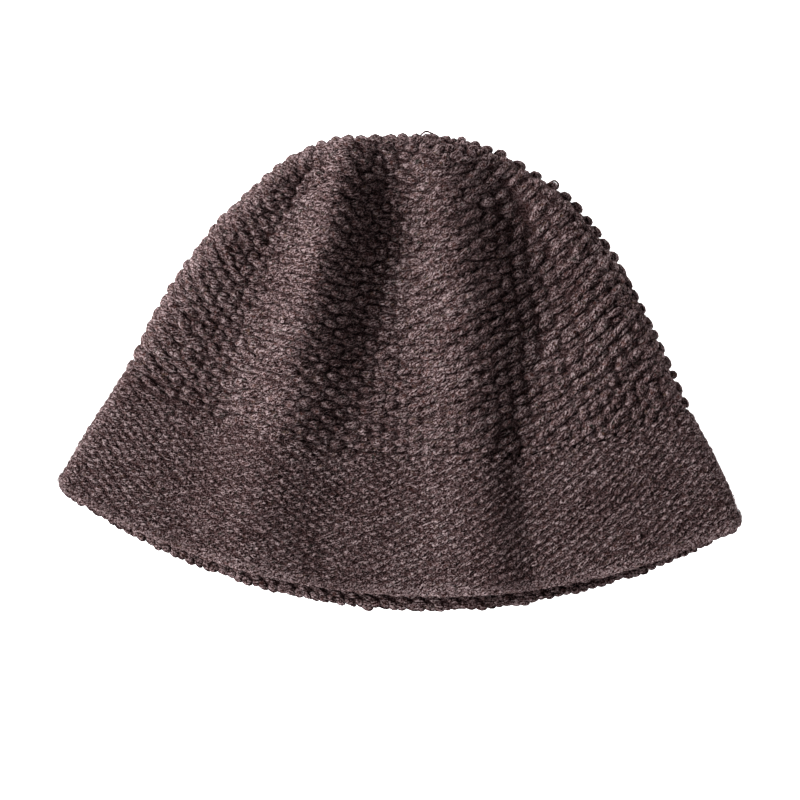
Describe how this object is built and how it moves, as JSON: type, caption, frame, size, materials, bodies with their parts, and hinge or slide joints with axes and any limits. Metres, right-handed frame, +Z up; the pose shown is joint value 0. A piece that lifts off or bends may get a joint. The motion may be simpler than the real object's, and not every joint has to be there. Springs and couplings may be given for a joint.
{
  "type": "knit bucket hat",
  "caption": "Chunky knit bucket hat lying flat on its back, a hollow crown with soft folds and a flared band of finer knit as its brim.",
  "frame": {"origin": "on the floor under the middle of the bounding box, the hat lying on its back", "axes": "+Y from the mouth to the crown top, +X to the wearer's left seen from the front, +Z up off the floor through the front wall"},
  "size_m": [0.343, 0.2364, 0.049],
  "materials": {
    "crown_knit": "chunky heathered brown-grey wool, half-drop stitches",
    "brim_knit": "dense heathered brown-grey wool, small half-drop stitches"
  },
  "bodies": {
    "root": {"crown": "crown_knit", "brim": "brim_knit"}
  },
  "joints": []
}
